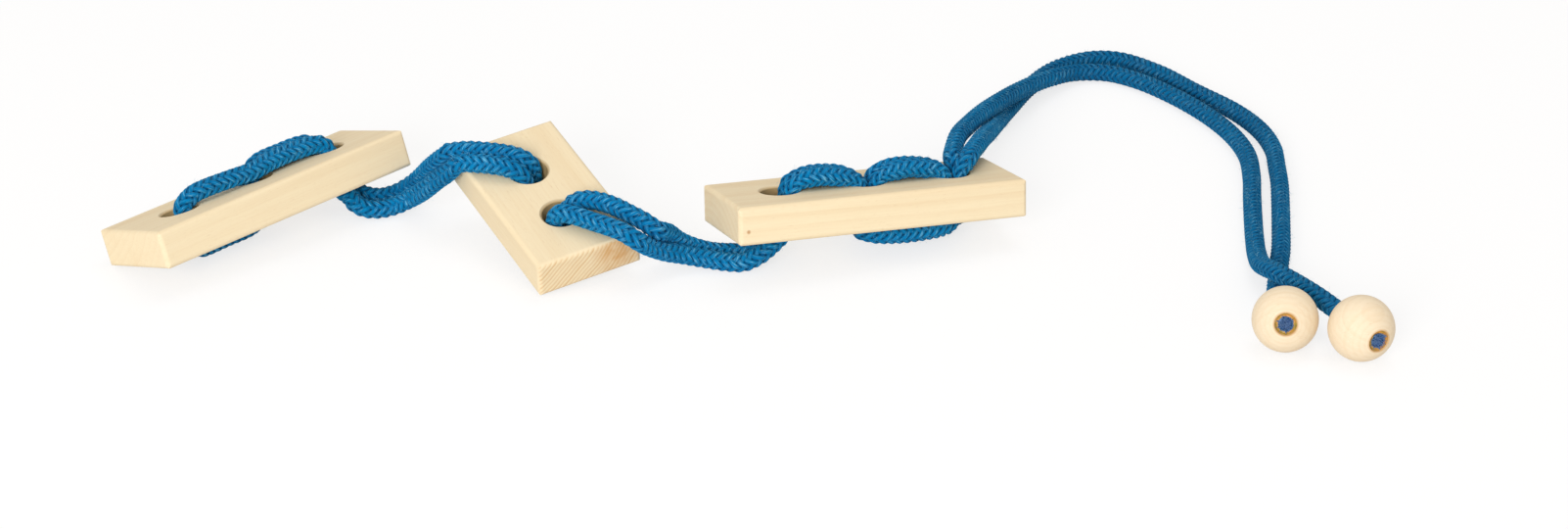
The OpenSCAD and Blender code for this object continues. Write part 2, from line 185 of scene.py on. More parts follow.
left_loop = [
    (25, -4.4, -8.2, paired), (23.6, -3, -6.2, paired), (23.1, -2.2, -3.5, paired),
    (23.5, -2.4, 0, paired), (24, -2.4, 3.5, paired), (23.3, -2.3, 6.4, paired),
    (21.4, -2, 7.7), (18.6, -1.8, 8), (12, -1.6, 8.3), (5, -1.9, 8.2), (0, -2.6, 7.8),
    (-8, -2.7, 8.2), (-16, -2.2, 8.4), (-19.6, -1.4, 8), (-21.6, -0.7, 7), (-23.1, -0.1, 5.6),
    (-23.6, 0, 3.5), (-23.6, 0, -3.5), (-23, 0, -5.6), (-21.4, 0.3, -7, pressed),
    (-19, 0.8, -7.4, pressed), (-12, 1.2, -7.4, pressed), (-6, 1.2, -7.4, pressed),
    (-2.9, 1.4, -7, pressed), (-0.8, 1.6, -5.6, pressed), (0, 1.8, -3.5), (0, 1.8, 3.5),
    (0.8, 2.1, 5.8), (2.6, 2.7, 7.4), (5.4, 3.3, 8.2), (12, 3.7, 8.3), (18.6, 3.4, 8.2),
    (21.6, 3, 7.6), (23.4, 2.6, 5.9, paired), (24, 2.4, 3.5, paired), (25.1, 2.1, 0, paired),
    (26.1, 1.5, -3.5, paired), (27.1, 0.5, -6.1, paired), (29.2, -0.8, -8.2, paired),
]
middle_front = [
    (-22.6, -18.3, 2.4), (-20.6, -17.1, 5.3, paired), (-19.8, -16.4, 6.7, paired),
    (-18.8, -15, 7.4, paired), (-16.6, -12.4, 7.9), (-14.2, -9.4, 8), (-11.6, -6.4, 7.9),
    (-9.6, -4.3, 7.3), (-8.6, -2.7, 5.8, paired), (-8.4, -1.9, 3.5, paired),
    (-8.4, -1.9, -3.5, paired), (-7.7, -2, -5.8, paired), (-6, -2.3, -7.4), (-3.5, -2.5, -8),
    (2, -2.6, -8), (6.2, -2.6, -8), (8.4, -2.5, -7.4), (10.1, -2.4, -5.8, paired),
    (10.8, -2.3, -3.5, paired), (10.8, -2.3, 3.5, paired), (11.3, -2, 5.8, paired),
    (12.8, -1, 7.4), (15.2, 0.7, 8.1), (20, 4, 8.2), (24.2, 6.9, 8.3), (27.4, 9.4, 7.8),
    (30.2, 12.2, 5.8),
]
middle_back = [
    (-28.6, -18, 2.6), (-26.4, -17.1, 5.4, paired), (-25.6, -16.4, 6.8, paired),
    (-24.5, -15, 7.4, paired), (-22.4, -12.1, 8), (-20, -8.9, 8.2), (-17.4, -5.5, 8.2),
    (-14.4, -2.1, 8), (-12.6, -0.4, 7.4), (-11.8, 1.1, 5.8, paired), (-11.6, 1.9, 3.5, paired),
    (-11.6, 1.9, -3.5, paired), (-10.9, 2, -5.8, paired), (-9.2, 2.3, -7.4), (-6.7, 2.5, -8),
    (-1, 2.6, -8), (4.6, 2.6, -8), (6.8, 2.5, -7.4), (8.5, 2.4, -5.8, paired),
    (9.2, 2.3, -3.5, paired), (9.2, 2.3, 3.5, paired), (9.5, 2.9, 5.8, paired),
    (10.4, 4.6, 7.5), (12, 7.2, 8.2), (14.6, 9.8, 8.4), (18.2, 12.2, 8.4), (22.2, 14.2, 8.2),
    (25.6, 16.6, 7.2), (28.2, 19.2, 5),
]
right_first = [
    (-31, -2.6, -11), (-28.4, -2.5, -9.2), (-26, -2.4, -7.5, paired), (-24, -2.4, -5.4, paired),
    (-22.9, -2.4, -2.8, paired), (-22.4, -2.3, 0.6, packed), (-22.1, -2.1, 3.5, packed),
    (-21.8, -2.1, 5.1, packed), (-21.1, -2.2, 6.6, packed), (-19.3, -2.2, 7.6, packed),
    (-17, -2.2, 8.2, paired), (-13.8, -2.2, 8.5), (-10, -2.3, 8.1), (-7, -2.4, 7.6, paired),
    (-4.8, -2.4, 7.2, packed), (-3, -2.2, 6.1, packed), (-2.4, -2.1, 5, packed),
    (-2.2, -2.1, 3.5, packed), (-1, -2.9, 0, packed), (0.5, -3, -3.5, packed),
    (1.2, -3, -6, packed), (3.2, -3, -7.5, packed), (6, -2.8, -8.1), (12.2, -2.6, -8.1),
    (16.8, -2.2, -8.2), (19.6, -1.2, -7.8), (21.2, -0.4, -6.1, packed), (21.4, 0, -3.5, packed),
    (21.6, 1.2, 0, packed), (22.2, 2.1, 3.5, packed), (22, 2.1, 5.1, packed),
    (21.2, 2.3, 6.4, packed), (19.6, 2.4, 7.3, packed), (16.4, 2.6, 7.7, paired),
    (12, 2.6, 8.1), (7.6, 2.6, 7.8), (4.7, 2.4, 7.3, packed), (2.8, 2.2, 6, packed),
    (2.1, 2.1, 3.5, packed), (1, 2.9, 0, packed), (-0.5, 3, -3.5, packed),
    (-0.5, 3.1, -5, packed), (-0.4, 3.8, -6.5, packed), (0.3, 5, -7.9), (3.2, 7, -8.2),
    (8, 7.8, -8.1), (14, 8, -8), (19, 8.9, -8.1), (23.4, 9.1, -8.2), (26.6, 7.9, -8.2),
    (28.3, 5.4, -8.3), (28.4, 2.8, -7.9, packed), (27.7, 0.6, -6.1, packed),
    (27.4, 0, -3.5, packed), (27.2, -1.2, 0, packed), (26.5, -2.1, 3.5, packed),
    (26.9, -1.9, 6, packed), (28.3, -1.5, 7.8), (30.1, 0, 8.8), (31.6, 2.4, 9.3),
]
right_second = [
    (-31, 2.7, -11.4), (-28.4, 2.5, -9.6), (-26, 2.4, -7.7, paired), (-24, 2.3, -5.4, paired),
    (-22.9, 2.2, -2.8, paired), (-22.4, 2.2, 0.6, packed), (-22.1, 2.1, 3.5, packed),
    (-21.8, 2.1, 5.1, packed), (-21.1, 2.2, 6.6, packed), (-19.3, 2.4, 7.5, packed),
    (-16.8, 2.5, 8, paired), (-13.4, 2.6, 8.2), (-9.2, 2.6, 7.9), (-6.8, 2.5, 7.6, paired),
    (-4.8, 2.4, 7.2, packed), (-3, 2.2, 6.1, packed), (-2.4, 2.1, 5, packed),
    (-2.2, 2.1, 3.5, packed), (-2.9, 1, 0, packed), (-3, -0.5, -3.5, packed),
    (-3.1, -1, -5.7, packed), (-2.9, -2.9, -7.3, packed), (-1.9, -5.5, -7.6, packed),
    (0.4, -7.4, -7.7, paired), (4.2, -8, -7.9), (9, -8, -8.1), (14.6, -7.6, -8),
    (18.8, -6.8, -7.8), (22.2, -5.4, -7.7, packed), (24.2, -3.3, -6.2, packed),
    (24.4, -3, -3.5, packed), (23.2, -2.8, 0, packed), (22.2, -2.1, 3.5, packed),
    (22, -2.1, 5.1, packed), (21.2, -2.3, 6.4, packed), (19.6, -2.4, 7.3, packed),
    (16.4, -2.5, 7.8, paired), (12, -2.3, 8.5), (7.6, -2.4, 8), (4.7, -2.4, 7.3, packed),
    (2.8, -2.2, 6, packed), (2.1, -2.1, 3.5, packed), (2.9, -1, 0, packed),
    (3, 0.5, -3.5, packed), (3.1, 0.8, -4.9, packed), (3.5, 1.4, -6.4, packed), (5, 2.2, -8),
    (7.8, 2.6, -8.1), (12.2, 2.6, -8.1), (18, 3.5, -8.1), (21.3, 4, -7.8),
    (23.5, 3.4, -6.1, packed), (24.4, 3, -3.5, packed), (25.6, 2.8, 0, packed),
    (26.5, 2.1, 3.5, packed), (26.6, 2.4, 6.1, packed), (27.1, 4, 7.9), (28.1, 6.6, 8.6),
    (29.4, 9.6, 8.6),
]
left_link_front = [
    (-104.1, 32.9, 4.1), (-101.2, 32.3, 3), (-97.6, 32.8, 2.6), (-93.5, 34.4, 3),
    (-89.4, 34, 5.2), (-86, 30.8, 8.4), (-82.9, 27.2, 12.1), (-79.9, 24.3, 15.7),
]
left_link_back = [
    (-102.1, 39.2, 3.8), (-97.7, 39.4, 3.2), (-93.4, 41.2, 3.8), (-89.6, 41.2, 6.2),
    (-86.5, 38.2, 10), (-84, 33.6, 14.2), (-81.8, 29.6, 17.6),
]
right_link_front = [
    (-22.3, -6.6, 10.2), (-18.1, -3.2, 7), (-13.5, -0.2, 4.7), (-8.1, 0.7, 3.2), (-2.1, 0, 2.5),
    (2.9, -0.4, 2.5),
]
right_link_back = [
    (-17.4, 1, 10.6), (-14.7, 4.2, 6.8), (-10.9, 6.2, 4), (-5.7, 6.1, 2.6), (0.5, 5.6, 2.5),
]
outer_tail = [
    (66.8, 38.6, 19.2), (68.9, 50.4, 16), (71.3, 63.4, 12), (75.2, 83.4, 6.6),
    (80.2, 101.4, 3.6), (86.7, 118.4, 2.5), (95.7, 132.9, 2.4), (106.2, 140.2, 2.4),
    (114.7, 140, 2.4), (125.7, 130.4, 2.4), (135.7, 115.4, 2.4), (146.2, 99.9, 2.4),
    (151.7, 86.4, 2.4), (153.7, 73.4, 2.4), (153.2, 61.4, 2.4), (152.5, 49.9, 2.4),
    (150.9, 35.4, 2.4), (149.2, 21.4, 2.4), (147.5, 8.4, 2.4), (145.5, -2.6, 2.4),
    (144.1, -10.6, 2.4), (142.9, -17.6, 2.5),
]
inner_tail = [
    (61.9, 46.4, 18.4), (65.7, 59.4, 16.4), (70.1, 72.4, 14.2), (75.3, 85.4, 11.8),
    (83.2, 102.4, 8.6), (92.7, 118.4, 5.4), (101.8, 128.6, 3), (110.7, 129.6, 2.4),
    (118.9, 124.3, 2.4), (128.3, 113.2, 2.4), (137.3, 98.2, 2.4), (143.2, 83.2, 2.4),
    (145.7, 69.4, 2.4), (145.3, 55.4, 2.4), (143.7, 40.9, 2.4), (142.3, 27.4, 2.4),
    (141.1, 14.4, 2.4), (140.3, 3, 3), (140.2, -8, 5.3), (142.2, -17.2, 8), (146.6, -26, 8.9),
]

# A cord end runs along its bead's axis, from behind the bead to the cut face inside its front
bead_axis_stops = (10.5, 4.25, -7.3)


def beaded(at, angles):
    turn = turning(angles)
    return [tuple(Vector(at) + turn @ Vector((0, y, 0))) for y in bead_axis_stops]


left_end = [(142.9, -17.6, 2.5), (141.9, -25.1, 3.2)] + beaded(left_bead_at, left_bead_turn)
right_end = [(146.6, -26, 8.9), (151, -33.8, 9)] + beaded(right_bead_at, right_bead_turn)

# The whole cord in order, from the left bead through the blocks to the loop in the left one, and
# back to the right bead. The first six routes were drawn the other way, so they are reversed.
left_loop = laid(left_pose, left_loop)
middle_front = laid(middle_pose, middle_front)
middle_back = laid(middle_pose, middle_back)
right_first = laid(right_pose, right_first)
right_second = laid(right_pose, right_second)
left_link_front = [left_loop[0][:3]] + left_link_front + [middle_front[0]]
left_link_back = [left_loop[-1][:3]] + left_link_back + [middle_back[0]]
right_link_front = [middle_front[-1]] + right_link_front + [right_first[0]]
right_link_back = [middle_back[-1]] + right_link_back + [right_second[0]]
outer_tail = [right_first[-1]] + outer_tail
inner_tail = [right_second[-1]] + inner_tail
stretches = [
    ("left_end", left_end[::-1]),
    ("outer_tail", outer_tail[::-1]),
    ("right_first", right_first[::-1]),
    ("right_link_front", right_link_front[::-1]),
    ("middle_front", middle_front[::-1]),
    ("left_link_front", left_link_front[::-1]),
    ("left_loop", left_loop),
    ("left_link_back", left_link_back),
    ("middle_back", middle_back),
    ("right_link_back", right_link_back),
    ("right_second", right_second),
    ("inner_tail", inner_tail),
    ("right_end", right_end),
]

# One smooth line through all the points, that carries a side direction without twisting, so that
# the braid runs on unbroken from stretch to stretch. Each cut end is drawn in where it was glued.
line_step = 0.41 * MM
taper_length = 6 * MM
taper_to = 0.74
knots = []
knots_of = {}
for name, points in stretches:
    first_knot = max(len(knots) - 1, 0)
    for p in points[1:] if knots else points:
        knots.append((*p[:3], p[3] if len(p) > 3 else full))
    knots_of[name] = (first_knot, len(knots) - 1)
knots = np.array(knots, float) * MM
ghost_first = 2 * knots[0] - knots[1]
ghost_last = 2 * knots[-1] - knots[-2]
padded_knots = np.vstack([ghost_first, knots, ghost_last])


# A centripetal spline from b to c, which doesn't loop where the points lie unevenly
def bend_through(a, b, c, d, t):
    ta = 0
    tb = ta + np.linalg.norm(b[:3] - a[:3]) ** 0.5
    tc = tb + np.linalg.norm(c[:3] - b[:3]) ** 0.5
    td = tc + np.linalg.norm(d[:3] - c[:3]) ** 0.5
    t = (tb + t * (tc - tb))[:, None]
    ab = (tb - t) / (tb - ta) * a + (t - ta) / (tb - ta) * b
    bc = (tc - t) / (tc - tb) * b + (t - tb) / (tc - tb) * c
    cd = (td - t) / (td - tc) * c + (t - tc) / (td - tc) * d
    abc = (tc - t) / (tc - ta) * ab + (t - ta) / (tc - ta) * bc
    bcd = (td - t) / (td - tb) * bc + (t - tb) / (td - tb) * cd
    return (tc - t) / (tc - tb) * abc + (t - tb) / (tc - tb) * bcd


line = []
knot_index = [0]
for i in range(len(knots) - 1):
    run = np.linalg.norm(knots[i + 1, :3] - knots[i, :3])
    count = max(1, round(run / line_step))
    line.extend(bend_through(*padded_knots[i : i + 4], np.arange(count) / count))
    knot_index.append(len(line))
line.append(knots[-1])
line = np.array(line)
middle_line = line[:, :3]
thickness = line[:, 3] / (full * MM)
ahead = np.gradient(middle_line, axis=0)
ahead /= np.linalg.norm(ahead, axis=1)[:, None]
side = np.zeros_like(middle_line)
side[0] = np.cross(ahead[0], (0, 0, 1))
side[0] /= np.linalg.norm(side[0])
for i in range(1, len(line)):
    brought = side[i - 1] - (side[i - 1] @ ahead[i]) * ahead[i]
    side[i] = brought / np.linalg.norm(brought)
gone = np.concatenate([[0], np.cumsum(np.linalg.norm(np.diff(middle_line, axis=0), axis=1))])
from_end = np.minimum(gone, gone[-1] - gone)
thickness *= np.interp(from_end, (0, taper_length), (taper_to, 1))


def stretch_range(name):
    first_knot, last_knot = knots_of[name]
    return knot_index[first_knot], knot_index[last_knot] + 1


def cord_line(name, *names):
    data = bpy.data.meshes.new(name)
    runs = [np.arange(*stretch_range(n)) for n in names]
    where = np.concatenate(runs)
    edges = []
    for run in runs:
        first = edges[-1][1] + 1 if edges else 0
        edges += [(first + i, first + i + 1) for i in range(len(run) - 1)]
    data.from_pydata(middle_line[where].tolist(), edges, [])
    for label, values in (("along", gone), ("thick", thickness)):
        data.attributes.new(label, "FLOAT", "POINT").data.foreach_set(
            "value", values[where].astype(np.float32)
        )
    for label, values in (("side", side), ("ahead", ahead)):
        data.attributes.new(label, "FLOAT_VECTOR", "POINT").data.foreach_set(
            "vector", values[where].astype(np.float32).ravel()
        )
    return data


def combine(tree, operation, *values, scale=None):
    sockets = {**dict(enumerate(values)), "Scale": scale}
    return added(tree, "ShaderNodeVectorMath", sockets, operation=operation).outputs[0]


def measured(tree, operation, *values):
    node = added(tree, "ShaderNodeVectorMath", dict(enumerate(values)), operation=operation)
    return node.outputs["Value"]


def point(tree, x, y, z):
    return added(tree, "ShaderNodeCombineXYZ", {0: x, 1: y, 2: z}).outputs[0]


def parts_of(tree, vector):
    return added(tree, "ShaderNodeSeparateXYZ", {0: vector}).outputs


def carried(tree, name, kind="FLOAT"):
    node = added(tree, "GeometryNodeInputNamedAttribute", {"Name": name}, data_type=kind)
    return node.outputs["Attribute"]


def note_down(tree, geometry, name, value, kind="FLOAT", domain="POINT"):
    sockets = {"Geometry": geometry, "Name": name, "Value": value}
    node = added(
        tree, "GeometryNodeStoreNamedAttribute", sockets, data_type=kind, domain=domain
    )
    return node.outputs[0]


def chance(tree, kind, low, high, seed):
    node = added(tree, "FunctionNodeRandomValue", {}, data_type=kind)
    live = [socket for socket in node.inputs if socket.enabled]
    live[0].default_value = low
    live[1].default_value = high
    node.inputs["Seed"].default_value = seed
    return next(socket for socket in node.outputs if socket.enabled)


def constant(tree, value):
    node = tree.nodes.new("ShaderNodeValue")
    node.outputs[0].default_value = value
    return node.outputs[0]


def named_input(tree, name, kind, value=None):
    socket = tree.interface.new_socket(name, in_out="INPUT", socket_type=kind)
    if value is not None:
        socket.default_value = value
    return socket.identifier


def opened(name, rows):
    tree = bpy.data.node_groups.new(name, "GeometryNodeTree")
    tree.interface.new_socket("Geometry", in_out="INPUT", socket_type="NodeSocketGeometry")
    sockets = {row[0]: named_input(tree, *row) for row in rows}
    tree.interface.new_socket("Geometry", in_out="OUTPUT", socket_type="NodeSocketGeometry")
    return tree, sockets, tree.nodes.new("NodeGroupInput").outputs


def closed(tree, parts, finish):
    joined = tree.nodes.new("GeometryNodeJoinGeometry")
    for part in parts:
        tree.links.new(part, joined.inputs[0])
    real = added(tree, "GeometryNodeRealizeInstances", {0: joined.outputs[0]})
    coat = added(tree, "GeometryNodeSetMaterial", {"Geometry": real.outputs[0], "Material": finish})
    added(tree, "NodeGroupOutput", {0: coat.outputs[0]})


def swept(tree, curve, profile, scale=None, capped=False):
    sockets = {"Curve": curve, "Profile Curve": profile, "Scale": scale, "Fill Caps": capped}
    return added(tree, "GeometryNodeCurveToMesh", sockets).outputs[0]


def polygon(tree, corners, radius):
    sockets = {"Resolution": corners, "Radius": radius}
    return added(tree, "GeometryNodeCurvePrimitiveCircle", sockets).outputs[0]


# The braid of one stretch: six yarns wind each way round the core, each over two and under two
braid, braid_sockets, given = opened("cord_braid", (
    ("Yarns each way", "NodeSocketInt", 6),
    ("Lay", "NodeSocketFloat", 13 * MM),
    ("Braid radius", "NodeSocketFloat", 1.96 * MM),
    ("Weave height", "NodeSocketFloat", 0.26 * MM),
    ("Yarn half width", "NodeSocketFloat", 0.74 * MM),
    ("Yarn half height", "NodeSocketFloat", 0.5 * MM),
    ("Core radius", "NodeSocketFloat", 1.7 * MM),
    ("Stray fibres in a square metre", "NodeSocketFloat", 1.6e5),
    ("Stray fibre length", "NodeSocketFloat", 0.9 * MM),
    ("Stray fibre radius", "NodeSocketFloat", 0.018 * MM),
    ("Cord finish", "NodeSocketMaterial"),
))
middle = added(braid, "GeometryNodeMeshToCurve", {0: given["Geometry"]}).outputs[0]
yarns = reckon(braid, "MULTIPLY", given["Yarns each way"], 2)
copies = added(
    braid, "GeometryNodeDuplicateElements", {"Geometry": middle, "Amount": yarns}, domain="SPLINE"
)
yarn = note_down(braid, copies.outputs["Geometry"], "yarn", copies.outputs["Duplicate Index"])

# Where a yarn is round the core, and how high it rides as it goes over and under the others
number = carried(braid, "yarn")
halfway = reckon(braid, "SUBTRACT", given["Yarns each way"], 0.5)
way = reckon(braid, "SIGN", reckon(braid, "SUBTRACT", number, halfway))
place = reckon(braid, "MODULO", number, given["Yarns each way"])
laid_turns = reckon(
    braid, "MULTIPLY", reckon(braid, "DIVIDE", carried(braid, "along"), given["Lay"]), way
)
share = reckon(braid, "DIVIDE", place, given["Yarns each way"])
angle = reckon(braid, "MULTIPLY", reckon(braid, "ADD", share, laid_turns), math.tau)
crossings = reckon(
    braid, "ADD",
    reckon(braid, "MULTIPLY", place, 2),
    reckon(braid, "MULTIPLY", laid_turns, yarns),
)
beat = reckon(
    braid, "COSINE",
    reckon(braid, "SUBTRACT", reckon(braid, "MULTIPLY", crossings, math.pi / 2), math.pi / 4),
)
crest = reckon(braid, "MULTIPLY", beat, way)
side_in = carried(braid, "side", "FLOAT_VECTOR")
other_side = combine(
    braid, "CROSS_PRODUCT", carried(braid, "ahead", "FLOAT_VECTOR"), side_in
)
outward = combine(
    braid, "ADD",
    combine(braid, "SCALE", side_in, scale=reckon(braid, "COSINE", angle)),
    combine(braid, "SCALE", other_side, scale=reckon(braid, "SINE", angle)),
)
weave_radius = reckon(
    braid, "ADD", given["Braid radius"], reckon(braid, "MULTIPLY", crest, given["Weave height"])
)
reach = reckon(braid, "MULTIPLY", weave_radius, carried(braid, "thick"))
yarn = note_down(braid, yarn, "outward", outward, "FLOAT_VECTOR")
yarn = note_down(braid, yarn, "crest", crest)
yarn = note_down(braid, yarn, "reach", reach)
outward = carried(braid, "outward", "FLOAT_VECTOR")
offset = combine(braid, "SCALE", outward, scale=carried(braid, "reach"))
wound = added(braid, "GeometryNodeSetPosition", {"Geometry": yarn, "Offset": offset}).outputs[0]
facing = added(
    braid, "GeometryNodeSetCurveNormal", {0: wound, "Normal": outward}, mode="FREE"
).outputs[0]

# A yarn is a flat oval, and the core a plain round, marked with a crest below any yarn's so that it
# is painted in the darkest shade
yarn_corners = 6
core_corners = 8
core_crest = -1.6
corner = parts_of(braid, braid.nodes.new("GeometryNodeInputPosition").outputs[0])
around = reckon(braid, "ARCTAN2", corner[1], corner[0])
oval = added(
    braid, "GeometryNodeTransform",
    {
        "Geometry": note_down(braid, polygon(braid, yarn_corners, 1), "around", around),
        "Scale": point(braid, given["Yarn half height"], given["Yarn half width"], 1),
    },
).outputs[0]
spun = swept(braid, facing, oval, carried(braid, "thick"), capped=True)
core_ring = polygon(braid, core_corners, given["Core radius"])
core = swept(braid, middle, core_ring, carried(braid, "thick"), capped=True)
sunk = note_down(braid, core, "crest", constant(braid, core_crest))

# Short stray fibres stand on the yarns, but none so low that it would go through the table
fibre_clearance = 1.4
fibre_rise = 0.6
fibre_bend = 0.7
height = parts_of(braid, braid.nodes.new("GeometryNodeInputPosition").outputs[0])[2]
fibre_length = given["Stray fibre length"]
lowest_root = reckon(braid, "MULTIPLY", fibre_length, fibre_clearance)
roots = added(
    braid, "GeometryNodeDistributePointsOnFaces",
    {
        "Mesh": spun,
        "Density": given["Stray fibres in a square metre"],
        "Seed": 11,
        "Selection": reckon(braid, "GREATER_THAN", height, lowest_root),
    },
)
hair_line = added(
    braid, "GeometryNodeCurveQuadraticBezier",
    {
        "Resolution": 2,
        "Start": (0, 0, 0),
        "Middle": point(braid, 0, 0, reckon(braid, "MULTIPLY", fibre_length, fibre_rise)),
        "End": point(braid, reckon(braid, "MULTIPLY", fibre_length, fibre_bend), 0, fibre_length),
    },
).outputs[0]
hair = swept(braid, hair_line, polygon(braid, 3, given["Stray fibre radius"]))
hairs = added(
    braid, "GeometryNodeInstanceOnPoints",
    {
        "Points": roots.outputs["Points"],
        "Instance": hair,
        "Rotation": roots.outputs["Rotation"],
        "Scale": chance(braid, "FLOAT", 0.4, 1.3, 12),
    },
).outputs[0]
lean = chance(braid, "FLOAT_VECTOR", (-1.2, -1.2, -3), (1.2, 1.2, 3), 13)
leaning = added(
    braid, "GeometryNodeRotateInstances", {"Instances": hairs, "Rotation": lean}
).outputs[0]
strays = note_down(braid, leaning, "stray", constant(braid, 1), domain="INSTANCE")
closed(braid, (strays, sunk, spun), given["Cord finish"])

# Blue dyed cotton, with painted shade navy between the yarns and painted light paler on their
# crowns, with painted glints along the crowns, and fibres that lie at a slant along each yarn. Both
# tails are darker.
fibre_rate = 650
slant_rate = 600
dye_patch_rate = 260
yarn_fibre_shift = 7.3
yarn_patch_shift = 3.7
fade_rate = 45
tail_dark_full = 0.26
tail_dark_none = 0.37


def new_finish(name):
    finish = bpy.data.materials.new(name)
    finish.use_nodes = True
    return finish, finish.node_tree


def dress(tree, looks):
    surface = tree.nodes["Principled BSDF"]
    for socket, source in looks.items():
        feed(tree, surface.inputs[socket], source)


def bumped(tree, height, strength, depth):
    sockets = {"Strength": strength, "Distance": depth * MM, "Height": height}
    return added(tree, "ShaderNodeBump", sockets).outputs[0]


def read_off(tree, name):
    return added(tree, "ShaderNodeAttribute", {}, attribute_name=name).outputs["Fac"]


def spread(tree, value, *from_to):
    return added(tree, "ShaderNodeMapRange", dict(enumerate((value, *from_to)))).outputs[0]


def speckle(tree, at, scale, detail=2, roughness=0.5):
    sockets = {"Vector": at, "Scale": scale, "Detail": detail, "Roughness": roughness}
    return added(tree, "ShaderNodeTexNoise", sockets).outputs["Fac"]


def tint(tree, share, first, second):
    node = added(tree, "ShaderNodeMix", {0: share, 6: first, 7: second}, data_type="RGBA")
    return node.outputs[2]


def shade(red, green, blue):
    return tuple(
        (c / 255 / 12.92) if c <= 10 else ((c / 255 + 0.055) / 1.055) ** 2.4
        for c in (red, green, blue)
    ) + (1,)


cord_cotton, paint = new_finish("cord_cotton")
along = read_off(paint, "along")
turn_round = read_off(paint, "around")
yarn_number = read_off(paint, "yarn")
slant = reckon(paint, "ADD", reckon(paint, "MULTIPLY", along, slant_rate), turn_round)
fibre_at = point(
    paint,
    reckon(paint, "MULTIPLY", along, fibre_rate),
    reckon(paint, "MULTIPLY", slant, 2),
    reckon(paint, "MULTIPLY", yarn_number, yarn_fibre_shift),
)
fibres = speckle(paint, fibre_at, 1, 3, 0.6)
fuzz = speckle(paint, combine(paint, "MULTIPLY", fibre_at, (2, 5, 1)), 1, 3, 0.7)
patch_at = point(
    paint,
    reckon(paint, "MULTIPLY", along, dye_patch_rate),
    0,
    reckon(paint, "MULTIPLY", yarn_number, yarn_patch_shift),
)
dye = speckle(paint, patch_at, 1)
faded = speckle(paint, point(paint, reckon(paint, "MULTIPLY", along, fade_rate), 0, 0), 1)
# Painted light and shade: each yarn is paler on its outward crown, and navy on its sides, low
# between the others and on the core
crown = spread(paint, read_off(paint, "crest"), -1, 1, 0, 1)
edge_on = spread(paint, reckon(paint, "COSINE", turn_round), -0.2, 1, 0, 1)
lit = reckon(paint, "MULTIPLY", spread(paint, crown, 0, 1, 0.35, 1), edge_on)
# Painted glints: light streaks along the fibres, only where the painted light falls on the crowns
glint = reckon(
    paint, "MULTIPLY",
    spread(paint, fibres, 0.53, 0.68, 0, 1), spread(paint, lit, 0.35, 0.9, 0, 0.8),
)
glint = reckon(paint, "MULTIPLY", glint, spread(paint, faded, 0.35, 0.6, 0.5, 1))
# The cord is darker along both tails, fully up to 0.26 m from each cut end and fading out by 0.37 m
from_cut_end = reckon(paint, "PINGPONG", along, float(gone[-1]) / 2)
blue = tint(paint, lit, shade(0, 48, 98), shade(0, 142, 208))
for share, colour in (
    (spread(paint, dye, 0.35, 0.75, 0, 0.5), shade(0, 148, 208)),
    (spread(paint, faded, 0.3, 0.65, 0.3, 0), shade(0, 44, 92)),
    (spread(paint, fuzz, 0.35, 0.65, 0.3, 0), shade(0, 72, 128)),
    (glint, shade(136, 208, 236)),
    (spread(paint, from_cut_end, tail_dark_full, tail_dark_none, 0.4, 0), shade(0, 52, 92)),
    # Stray fibres are painted pale, a painted highlight for the light that the thin fibres catch
    (read_off(paint, "stray"), shade(140, 204, 232)),
):
    blue = tint(paint, share, blue, colour)
dress(paint, {
    "Base Color": blue,
    "Roughness": spread(paint, fibres, 0, 1, 0.85, 1),
    "Sheen Weight": 0.15,
    "Sheen Roughness": 0.5,
    "Sheen Tint": (0.2, 0.7, 1, 1),
    "Specular IOR Level": 0.1,
    "Normal": bumped(paint, reckon(paint, "ADD", fibres, fuzz), 0.6, 0.08),
})


# Gives a start mesh its node group and finish, and keeps what grows from it as a plain mesh
def grown(name, start, group, finish_socket, finish):
    grower = bpy.data.objects.new(start.name, start)
    scene.collection.objects.link(grower)
    modifier = grower.modifiers.new(group.name, "NODES")
    modifier.node_group = group
    modifier[finish_socket] = finish
    ready = grower.evaluated_get(bpy.context.evaluated_depsgraph_get())
    mesh = bpy.data.meshes.new_from_object(ready)
    bpy.data.objects.remove(grower)
    mesh.name = name
    mesh.materials.clear()
    mesh.materials.append(finish)
    piece = bpy.data.objects.new(name, mesh)
    scene.collection.objects.link(piece)
    return piece


def braided(name, *names):
    start = cord_line(name + "_route", *names)
    return grown(name, start, braid, braid_sockets["Cord finish"], cord_cotton)


def free_cord(node):
    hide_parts(node)


# The lacing stays in its block
for block, names in (
    ("left", ["left_loop"]),
    ("middle", ["middle_front", "middle_back"]),
    ("right", ["right_first", "right_second"]),
):
    lacing = braided(block + "_block_cord", *names)
    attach(lacing, block)
    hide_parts(block + "_block_lacing")

# Each link strand runs between its two blocks
for name, first_body, last_body, backwards in (
    ("left_link_front", "left", "middle", True),
    ("left_link_back", "left", "middle", False),
    ("right_link_front", "middle", "right", True),
    ("right_link_back", "middle", "right", False),
):
    strand = braided(name + "_cord", name)
    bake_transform(strand)
    free_cord(name + "_strand")

# The tails leave the last hole of the right block, cross twice and end in the beads.
for name, end_name, backwards, bead in (
    ("outer_tail", "left_end", True, "left_bead"),
    ("inner_tail", "right_end", False, "right_bead"),
):
    tail = braided(name + "_braid", name)
    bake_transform(tail)
    free_cord(name + "_cord")
    last = braided(bead + "_cord_braid", end_name)
    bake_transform(last)
    free_cord(bead + "_cord_end")

